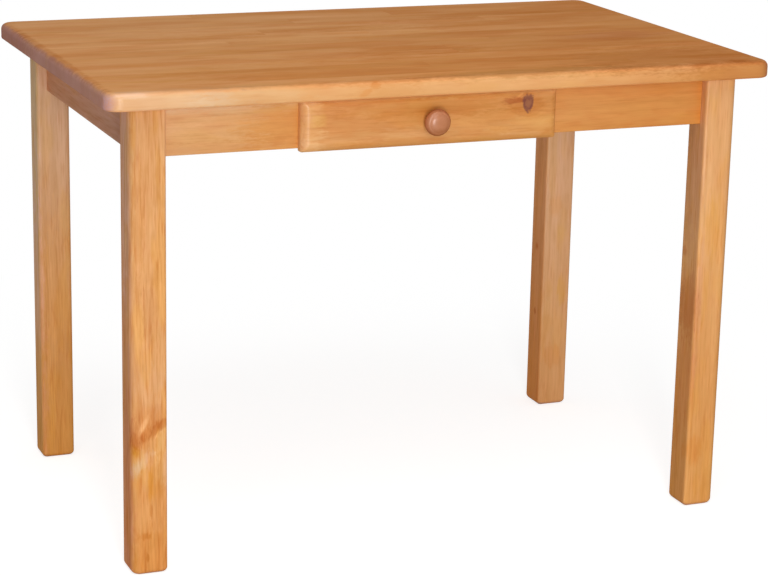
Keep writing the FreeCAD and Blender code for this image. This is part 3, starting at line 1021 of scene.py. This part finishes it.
@dataclass
class Knob:
    """The turned knob on the drawer front."""

    board: Board
    steps: int = 72
    weld: float = 1e-6
    # Radius and distance from the drawer front of each point of the turned outline, in millimetres.
    outline: tuple[Pair, ...] = (
        (0.0, 0.0), (10.2, 0.0), (10.4, 0.9), (9.8, 1.9), (8.6, 3.4), (7.9, 6.0), (7.9, 8.6), (8.9, 11.2),
        (12.0, 13.3), (16.4, 14.7), (19.4, 15.8), (20.7, 17.4), (21.0, 19.6), (20.6, 21.6), (20.0, 22.3),
        (19.3, 23.6), (18.4, 24.9), (17.5, 25.7), (16.7, 26.3), (16.2, 26.5), (15.9, 26.5), (15.6, 26.6),
        (14.9, 27.15), (13.4, 28.3), (11.1, 29.5), (8.2, 30.3), (4.4, 30.85), (0.0, 31.0),
    )

    def build(self) -> None:
        """Turn the knob and put it in place of the plain one."""
        low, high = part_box("drawer_knob")
        foot = Vector(((low.x + high.x) / 2, high.y, (low.z + high.z) / 2))
        piece = make_piece("turned_knob", self._turn(foot))
        smooth = piece.modifiers.new("round", "SUBSURF")
        smooth.levels = smooth.render_levels = 1
        piece.data.materials.append(PineShader("knob_wood", KNOB_WOOD, self.board, low, high).build())
        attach(piece, "drawer")
        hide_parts("drawer_knob")
        LOG.info("turned_knob replaces drawer_knob")

    def _turn(self, foot: Vector) -> bmesh.types.BMesh:
        """Spin the outline round the knob's axis.

        Args:
            foot: the middle of the knob's flat back.

        Returns:
            The knob's mesh in its place, with its face towards -Y.
        """
        shape = bmesh.new()
        points = [shape.verts.new((radius * MM, 0.0, out * MM)) for radius, out in self.outline]
        edges = [shape.edges.new(pair) for pair in zip(points, points[1:])]
        bmesh.ops.spin(
            shape, geom=points + edges, cent=(0, 0, 0), axis=(0, 0, 1), angle=math.tau, steps=self.steps,
            use_merge=True,
        )
        bmesh.ops.remove_doubles(shape, verts=shape.verts, dist=self.weld)
        bmesh.ops.recalc_face_normals(shape, faces=shape.faces)
        forwards = Matrix.Rotation(math.pi / 2, 3, "X")
        bmesh.ops.rotate(shape, verts=shape.verts, cent=(0, 0, 0), matrix=forwards)
        bmesh.ops.translate(shape, verts=shape.verts, vec=foot)
        return shape


@dataclass
class Drawer:
    """The drawer's boards."""

    front: Board
    box: tuple[tuple[str, Grain], ...] = (
        ("drawer_side_left", Grain.ALONG_Y_UPRIGHT), ("drawer_side_right", Grain.ALONG_Y_UPRIGHT),
        ("drawer_inner_front", Grain.ALONG_X_UPRIGHT), ("drawer_back", Grain.ALONG_X_UPRIGHT),
    )

    def build(self) -> None:
        """Dress the front, the box behind it and its bottom."""
        pine("drawer_front", self.front)
        for number, (node, grain) in enumerate(self.box):
            pine(node, Board(grain, seed=61.0 + number), SANDED)
        pine("drawer_bottom", Board(Grain.ALONG_X, seed=71.0), PLYWOOD)


@dataclass(frozen=True)
class Lamp:
    """A soft lamp: where it hangs, the point it faces, its width and height, and its power in watts."""

    name: str
    place: Triple
    target: Triple
    size: Pair
    power: float

    def build(self) -> None:
        """Hang the lamp."""
        data = bpy.data.lights.new(self.name, "AREA")
        data.shape = "RECTANGLE"
        data.size, data.size_y = self.size
        data.energy = self.power
        lamp = bpy.data.objects.new(self.name, data)
        lamp.location = self.place
        lamp.rotation_mode = "QUATERNION"
        lamp.rotation_quaternion = (Vector(self.target) - Vector(self.place)).to_track_quat("-Z", "Y")
        bpy.context.scene.collection.objects.link(lamp)


@dataclass
class Studio:
    """Floor, lamps, sky and camera.

    yaw, pitch and roll are the camera's, in degrees. The floor throws back as much light as floor_bounce
    says, but near the object it looks like a floor of floor_grey with a glow, and past shadow_fade it is
    white. ambient is how strongly the sky lights the object.
    """

    camera_place: Triple = (-1.42727, -3.61168, 1.39657)
    yaw: float = -21.92
    pitch: float = -15.258
    roll: float = 1.208
    lens: float = 111.17
    sensor: float = 36.0
    farthest: float = 200.0
    floor_half: float = 40.0
    floor_bounce: float = 0.8
    floor_grey: float = 0.56
    floor_glow: float = 0.75
    shadow_fade: Pair = (0.5, 1.5)
    ambient: float = 0.34
    lamps: tuple[Lamp, ...] = (
        Lamp("key", (-1.05, -3.95, 1.0), (0.0, 0.0, 0.5), (0.5, 1.8), 72.0),
        Lamp("overhead", (-0.7, -1.6, 3.0), (0.0, 0.0, 0.7), (2.0, 2.0), 25.0),
    )

    def build(self) -> None:
        """Set up everything round the object."""
        self._camera()
        self._floor()
        self._sky()
        for lamp in self.lamps:
            lamp.build()
        bpy.context.scene.view_settings.view_transform = "Standard"

    def _camera(self) -> None:
        """Place the camera and look through it."""
        yaw, pitch, roll = (math.radians(angle) for angle in (self.yaw, self.pitch, self.roll))
        ahead = Vector((math.sin(-yaw) * math.cos(pitch), math.cos(yaw) * math.cos(pitch), math.sin(pitch)))
        level = ahead.cross(Vector((0, 0, 1))).normalized()
        above = level.cross(ahead)
        right = level * math.cos(roll) + above * math.sin(roll)
        up = above * math.cos(roll) - level * math.sin(roll)
        data = bpy.data.cameras.new("camera")
        data.lens = self.lens
        data.sensor_width = self.sensor
        data.clip_end = self.farthest
        camera = bpy.data.objects.new("camera", data)
        bpy.context.scene.collection.objects.link(camera)
        turn = Matrix((right, up, -ahead)).transposed()
        camera.matrix_world = Matrix.Translation(self.camera_place) @ turn.to_4x4()
        bpy.context.scene.camera = camera

    def _floor(self) -> None:
        """Make a white floor that still shows a soft shadow."""
        shape = bmesh.new()
        bmesh.ops.create_grid(shape, x_segments=1, y_segments=1, size=self.floor_half)
        floor = make_piece("floor", shape)
        graph = Graph(bpy.data.materials.new("floor_white"))
        path = graph.node("ShaderNodeLightPath")
        spot = graph.node("ShaderNodeTexCoord")
        far = graph.length(*graph.parts(spot.outputs["Object"])).ramp(*self.shadow_fade)
        matte, shown = (
            graph.node("ShaderNodeBsdfDiffuse", None, {"Color": grey(level)})
            for level in (self.floor_bounce, self.floor_grey)
        )
        glow, white = (
            graph.node("ShaderNodeEmission", None, {"Color": grey(1.0), "Strength": strength})
            for strength in (self.floor_glow, 1.0)
        )
        lit = graph.node("ShaderNodeAddShader", None, {0: shown.outputs[0], 1: glow.outputs[0]})
        seen = graph.node("ShaderNodeMixShader", None, {0: far, 1: lit.outputs[0], 2: white.outputs[0]})
        mixed = graph.node(
            "ShaderNodeMixShader", None,
            {0: path.outputs["Is Camera Ray"], 1: matte.outputs[0], 2: seen.outputs[0]},
        )
        graph.node("ShaderNodeOutputMaterial", None, {"Surface": mixed.outputs[0]})
        floor.data.materials.append(graph.owner)

    def _sky(self) -> None:
        """Make a sky that is white to look at and lights the object softly."""
        world = bpy.data.worlds.new("sky")
        bpy.context.scene.world = world
        graph = Graph(world)
        path = graph.node("ShaderNodeLightPath")
        rays = ("Is Camera Ray", "Is Glossy Ray", "Is Transmission Ray")
        camera, glossy, through = (Value(graph, path.outputs[ray]) for ray in rays)
        soft, white = (
            graph.node("ShaderNodeBackground", None, {"Color": grey(1.0), "Strength": strength})
            for strength in (self.ambient, 1.0)
        )
        seen = camera.most(glossy).most(through)
        mixed = graph.node("ShaderNodeMixShader", None, {0: seen, 1: soft.outputs[0], 2: white.outputs[0]})
        graph.node("ShaderNodeOutputWorld", None, {"Surface": mixed.outputs[0]})


TOP_BOARD = Board(
    Grain.ALONG_X, seed=3.0, warmth=0.75, figure=0.3, hairs=0.3, ribbons=24.0, shine=0.6,
    # low, which makes the left end of the top paler and bluer, is a painted sheen
    low=(1.15, 1.13, 1.22), high=(1.11, 0.98, 0.9), rim=(0.89, 0.98, 1.0),
    patches=(
        # painted sheen: the back of the top made paler and bluer
        Patch(Face.TOP, (-0.15, 0.35), (0.8, 0.25), (1.03, 1.08, 1.18), depth=0.03),
        Patch(Face.TOP, (0.1, -0.25), (0.6, 0.15), (0.97, 0.9, 0.78), depth=0.016),
        # painted shade: a darker strip along the top's rounded front edge
        Patch(Face.TOP, (0.1, -0.346), (0.6, 0.011), (0.88, 0.85, 0.8), depth=0.005, sunk=-0.001),
        Patch(Face.FRONT, (-0.33, 0.012), (0.1, 0.03), (1.0, 1.1, 1.24), depth=0.03),
        Patch(Face.FRONT, (-0.12, 0.012), (0.07, 0.03), (0.96, 0.91, 0.84), depth=0.03),
        Patch(Face.TOP, (0.4, -0.28), (0.2, 0.12), (0.9, 0.88, 0.88), depth=0.016),
        Patch(Face.FRONT, (-0.47, 0.012), (0.14, 0.03), (0.97, 1.08, 1.33), depth=0.03),
        # painted highlight: a sheen on the upper edge of the front left corner
        Patch(Face.FRONT, (-0.515, 0.024), (0.03, 0.006), (1.06, 1.16, 1.4), depth=0.012),
        Patch(Face.FRONT, (0.5, 0.012), (0.14, 0.03), (0.87, 0.76, 0.6), depth=0.03),
        Patch(Face.FRONT, (-0.136, 0.019), (0.011, 0.007), (0.96, 0.84, 0.66), lean=0.3, depth=0.03),
        Patch(Face.FRONT, (-0.149, 0.011), (0.012, 0.006), (0.98, 0.88, 0.74), lean=0.4, depth=0.03),
        Patch(Face.LEFT, (0.0, 0.012), (0.5, 0.03), (0.94, 1.0, 1.14), depth=0.014),
        Patch(Face.LEFT, (0.29, 0.012), (0.19, 0.03), (0.89, 0.81, 0.77)),
        Patch(Face.TOP, (-0.542, -0.03), (0.009, 0.36), (0.88, 0.78, 0.68), depth=0.008, sunk=0.002),
        Patch(Face.TOP, (-0.06, 0.075), (0.24, 0.055), (1.06, 1.12, 1.19)),
        Patch(Face.TOP, (0.03, -0.11), (0.13, 0.06), (0.96, 0.91, 0.84)),
        Patch(Face.TOP, (0.15, -0.18), (0.07, 0.03), (1.03, 1.09, 1.15)),
        Patch(Face.TOP, (0.14, -0.335), (0.2, 0.03), (0.87, 0.9, 0.88), depth=0.012),
        Patch(Face.TOP, (0.18, 0.155), (0.15, 0.045), (1.05, 1.1, 1.18)),
        Patch(Face.TOP, (0.42, -0.05), (0.11, 0.05), (0.93, 0.89, 0.95)),
    ),
)
# On the legs, where a high end, a rim or a patch on a left face makes the wood bluer, that is a painted
# sheen.
LEG_BOARDS = {
    "leg_front_left": Board(
        Grain.ALONG_Z, seed=1.0, pith=(-0.035, -0.06), warmth=0.45, hairs=1.8, bands=1.8, shine=0.35,
        low=(1.03, 0.97, 0.84), high=(0.97, 1.0, 1.12), rim=(0.99, 1.0, 1.3),
        patches=(
            Patch(Face.LEFT, (0.0, 0.68), (0.03, 0.26), (1.07, 1.26, 1.6), depth=0.012),
            Patch(Face.LEFT, (0.0, 0.38), (0.03, 0.1), (1.03, 1.05, 1.18), depth=0.012),
            Patch(Face.LEFT, (0.0, 0.1), (0.03, 0.22), (0.95, 0.85, 0.97), depth=0.012),
            Patch(Face.FRONT, (0.0, 0.45), (0.03, 0.07), (0.97, 0.94, 0.88)),
            Patch(Face.FRONT, (-0.019, 0.57), (0.014, 0.13), (0.95, 0.91, 0.78), sunk=-0.002),
            Patch(Face.FRONT, (-0.001, 0.42), (0.012, 0.06), (0.93, 0.91, 0.92)),
            Patch(Face.FRONT, (0.016, 0.33), (0.014, 0.09), (1.02, 1.08, 1.18)),
            Patch(Face.FRONT, (-0.001, 0.3), (0.03, 0.04), (1.0, 1.05, 1.22)),
            Patch(Face.FRONT, (0.0, 0.03), (0.03, 0.06), (0.94, 0.86, 0.68)),
            # the mark that a branch left: its shadow, its ragged lower edge, and the pale wood round it
            Patch(Face.FRONT, (0.001, 0.256), (0.034, 0.022), (0.94, 0.86, 0.8)),
            Patch(Face.FRONT, (-0.023, 0.232), (0.01, 0.028), (0.9, 0.8, 0.74)),
            Patch(Face.FRONT, (-0.019, 0.217), (0.014, 0.016), (0.88, 0.74, 0.6), lean=0.9),
            Patch(Face.FRONT, (-0.005, 0.229), (0.013, 0.014), (0.87, 0.71, 0.54), lean=0.8),
            Patch(Face.FRONT, (0.009, 0.235), (0.012, 0.012), (0.84, 0.67, 0.5), lean=1.0),
            Patch(Face.FRONT, (0.021, 0.243), (0.011, 0.009), (0.88, 0.72, 0.56), lean=0.5),
            Patch(Face.FRONT, (-0.024, 0.201), (0.009, 0.012), (0.92, 0.84, 0.44), depth=0.01),
            Patch(Face.FRONT, (-0.011, 0.24), (0.01, 0.01), (1.18, 1.34, 1.6), lean=1.66, depth=0.01),
            Patch(Face.FRONT, (0.011, 0.226), (0.004, 0.003), (1.14, 1.28, 1.4), lean=2.2, depth=0.01),
            Patch(Face.FRONT, (-0.014, 0.184), (0.018, 0.018), (1.03, 1.18, 1.55), lean=0.8),
            Patch(Face.FRONT, (-0.007, 0.188), (0.013, 0.012), (1.02, 1.08, 1.24), lean=0.8),
            Patch(Face.FRONT, (-0.022, 0.172), (0.01, 0.02), (0.98, 1.1, 1.4)),
            Patch(Face.FRONT, (0.02, 0.214), (0.013, 0.022), (1.03, 1.1, 1.25), lean=0.7),
            Patch(Face.FRONT, (0.021, 0.19), (0.012, 0.06), (1.05, 1.18, 1.42)),
            Patch(Face.FRONT, (0.001, 0.17), (0.032, 0.03), (1.02, 1.08, 1.26)),
            Patch(Face.FRONT, (0.001, 0.15), (0.005, 0.035), (1.0, 0.9, 0.55)),
            Patch(Face.FRONT, (0.002, 0.1025), (0.003, 0.014), (0.88, 0.76, 0.6)),
            Patch(Face.FRONT, (-0.007, 0.064), (0.01, 0.007), (0.9, 0.78, 0.6)),
            Patch(Face.FRONT, (-0.004, 0.028), (0.0035, 0.009), (0.88, 0.76, 0.6)),
        ),
    ),
    "leg_front_right": Board(
        Grain.ALONG_Z, seed=2.0, pith=(-0.05, 0.04), warmth=0.45, figure=0.7, bands=1.2, shine=0.6,
        low=(1.05, 0.98, 0.75), high=(1.1, 1.16, 1.3), rim=(0.84, 0.84, 0.88),
        patches=(
            Patch(Face.LEFT, (0.0, 0.345), (0.04, 0.06), (0.87, 0.73, 0.65), depth=0.012),
            Patch(Face.LEFT, (0.0, 0.22), (0.04, 0.09), (0.97, 0.88, 0.87), depth=0.012),
            Patch(Face.LEFT, (0.016, 0.436), (0.008, 0.01), (0.88, 0.75, 0.7), depth=0.01),
            Patch(Face.LEFT, (0.0, 0.57), (0.04, 0.13), (0.93, 0.88, 0.92), depth=0.012),
            Patch(Face.LEFT, (0.0, 0.49), (0.04, 0.11), (1.01, 1.08, 1.17), depth=0.012),
            Patch(Face.FRONT, (-0.017, 0.1), (0.02, 0.03), (0.98, 0.88, 0.7), depth=0.03),
            Patch(Face.FRONT, (-0.005, 0.484), (0.016, 0.06), (1.0, 0.97, 0.8), depth=0.03),
            # painted highlight: a paler, bluer strip along the leg's rounded left edge
            Patch(Face.FRONT, (-0.021, 0.36), (0.006, 0.16), (1.02, 1.02, 1.25), depth=0.03),
        ),
    ),
    "leg_back_left": Board(
        Grain.ALONG_Z, seed=5.0, pith=(-0.06, -0.045), warmth=0.35, figure=0.8, hairs=1.3, bands=1.3,
        shine=0.6, low=(0.93, 0.82, 0.47), high=(0.91, 1.1, 1.7), rim=(1.14, 1.34, 1.38),
        patches=(
            Patch(Face.FRONT, (0.0, 0.32), (0.05, 0.14), (1.05, 1.03, 0.92)),
            Patch(Face.LEFT, (0.0, 0.12), (0.05, 0.42), (1.04, 1.05, 1.7), depth=0.012),
        ),
    ),
    "leg_back_right": Board(
        Grain.ALONG_Z, seed=8.0, pith=(-0.05, 0.06), warmth=0.3, figure=0.6, shine=0.6,
        low=(1.1, 1.12, 1.2), high=(1.11, 1.34, 2.15), rim=(0.97, 0.79, 0.62),
        patches=(
            Patch(Face.LEFT, (0.002, 0.306), (0.006, 0.008), (0.85, 0.65, 0.5), depth=0.01),
            Patch(Face.LEFT, (0.001, 0.18), (0.005, 0.007), (0.8, 0.62, 0.5), depth=0.01),
            Patch(Face.FRONT, (0.011, 0.225), (0.01, 0.03), (1.0, 0.98, 0.7)),
            Patch(Face.FRONT, (-0.007, 0.39), (0.014, 0.026), (1.0, 0.93, 0.8)),
            Patch(Face.FRONT, (0.008, 0.335), (0.012, 0.02), (1.0, 1.0, 0.86)),
            Patch(Face.FRONT, (-0.014, 0.195), (0.014, 0.026), (1.02, 1.07, 1.18)),
            Patch(Face.FRONT, (-0.002, 0.098), (0.02, 0.026), (0.98, 0.89, 0.76)),
        ),
    ),
}
APRON_BOARDS = {
    "apron_front": Board(
        Grain.ALONG_X_UPRIGHT, seed=14.0, pith=(0.02, 0.06), warmth=0.6, figure=0.45, low=(1.0, 1.1, 1.22),
        high=(0.99, 0.84, 0.5),
        patches=(
            Patch(Face.FRONT, (-0.33, 0.007), (0.17, 0.012), (0.95, 0.91, 0.86)),
            Patch(Face.FRONT, (-0.24, 0.03), (0.1, 0.05), (0.985, 0.85, 0.55)),
            Patch(Face.FRONT, (-0.3, 0.044), (0.15, 0.032), (0.95, 0.9, 0.78)),
            # painted light: lifts the shade under the top's overhang
            Patch(Face.FRONT, (-0.32, 0.075), (0.15, 0.02), (1.04, 1.26, 1.65)),
        ),
    ),
    "apron_back": Board(Grain.ALONG_X_UPRIGHT, seed=15.0, pith=(-0.01, 0.05)),
    "apron_left": Board(
        Grain.ALONG_Y_UPRIGHT, seed=16.0, pith=(0.01, 0.06), figure=0.7,
        # low and high, which make this side apron much bluer, are a painted sheen
        low=(0.87, 1.0, 1.88), high=(1.0, 1.0, 1.52),
    ),
    "apron_right": Board(Grain.ALONG_Y_UPRIGHT, seed=17.0, pith=(-0.02, 0.06)),
}
DRAWER_BOARD = Board(
    Grain.ALONG_X_UPRIGHT, seed=18.0, pith=(-0.012, 0.05), warmth=0.55, figure=0.6, hairs=0.6, bands=0.9,
    shine=0.7, low=(0.96, 0.9, 0.78), high=(0.95, 0.88, 0.68), end_share=0.15,
    knot=Knot(along=0.16, across=0.017, half_along=0.0095, half_across=0.0145, taper=0.42),
    patches=(
        # painted shade: the upper part made darker and more orange, under the top's overhang
        Patch(Face.FRONT, (-0.003, 0.0635), (0.2, 0.022), (0.93, 0.85, 0.67)),
        Patch(Face.FRONT, (-0.083, 0.0135), (0.17, 0.02), (1.01, 1.1, 1.24)),
        Patch(Face.FRONT, (0.097, 0.0185), (0.07, 0.02), (0.98, 0.98, 1.0)),
        Patch(Face.FRONT, (0.167, 0.0215), (0.06, 0.018), (1.06, 1.18, 1.45)),
        Patch(Face.FRONT, (0.127, 0.0405), (0.08, 0.014), (0.94, 0.88, 0.78)),
        Patch(Face.FRONT, (0.177, 0.075), (0.05, 0.008), (1.03, 1.1, 1.22)),
        Patch(Face.FRONT, (-0.033, 0.0245), (0.06, 0.01), (1.03, 1.09, 1.24)),
        Patch(Face.FRONT, (-0.023, 0.0675), (0.06, 0.012), (1.01, 1.07, 1.12)),
        Patch(Face.FRONT, (-0.053, 0.0075), (0.12, 0.011), (0.95, 0.86, 0.74)),
        Patch(Face.FRONT, (0.135, 0.0635), (0.028, 0.006), (0.8, 0.62, 0.6)),
        Patch(Face.FRONT, (0.154, 0.0615), (0.003, 0.011), (0.7, 0.6, 0.75), lean=-2.0),
        Patch(Face.FRONT, (0.165, 0.0545), (0.003, 0.011), (0.65, 0.55, 0.7), lean=1.2),
        Patch(Face.FRONT, (0.145, 0.071), (0.009, 0.002), (1.15, 1.25, 1.4), lean=0.5),
        Patch(Face.FRONT, (-0.186, 0.0485), (0.014, 0.012), (1.0, 1.06, 0.9)),
        # painted highlight on the drawer front's rounded left edge
        Patch(Face.FRONT, (-0.206, 0.0405), (0.028, 0.14), (1.12, 1.3, 1.6), depth=0.03, sunk=0.006),
        # painted light: the shaded left end made paler
        Patch(Face.LEFT, (0.003, 0.0405), (0.012, 0.09), (1.06, 1.15, 1.22), depth=0.004),
        # painted light: lifts the shade along the drawer's top edge, under the table top
        Patch(Face.TOP, (-0.003, -0.006), (0.4, 0.03), (1.14, 1.42, 1.9), depth=0.009, sunk=-0.001),
        Patch(Face.RIGHT, (0.0, 0.0405), (0.03, 0.09), (1.1, 1.14, 1.15), depth=0.009),
    ),
)
KNOB_BOARD = Board(
    Grain.ALONG_Y, seed=51.0, pith=(0.012, -0.02),
    # painted shade: the patch darkens the lower part of the knob
    patches=(Patch(Face.FRONT, (0.0, 0.0), (0.04, 0.014), (0.91, 0.84, 0.7), depth=0.04, sunk=0.011),),
)


def main() -> None:
    """Build and dress the table piece by piece, then the studio round it."""
    logging.basicConfig(level=logging.INFO, format="%(name)s: %(message)s")
    for part in (
        TopPanel(TOP_BOARD), Legs(LEG_BOARDS), Aprons(APRON_BOARDS), HiddenWood(), Hardware(),
        Knob(KNOB_BOARD), Drawer(DRAWER_BOARD), Studio(),
    ):
        part.build()


if __name__ == "__main__":
    main()
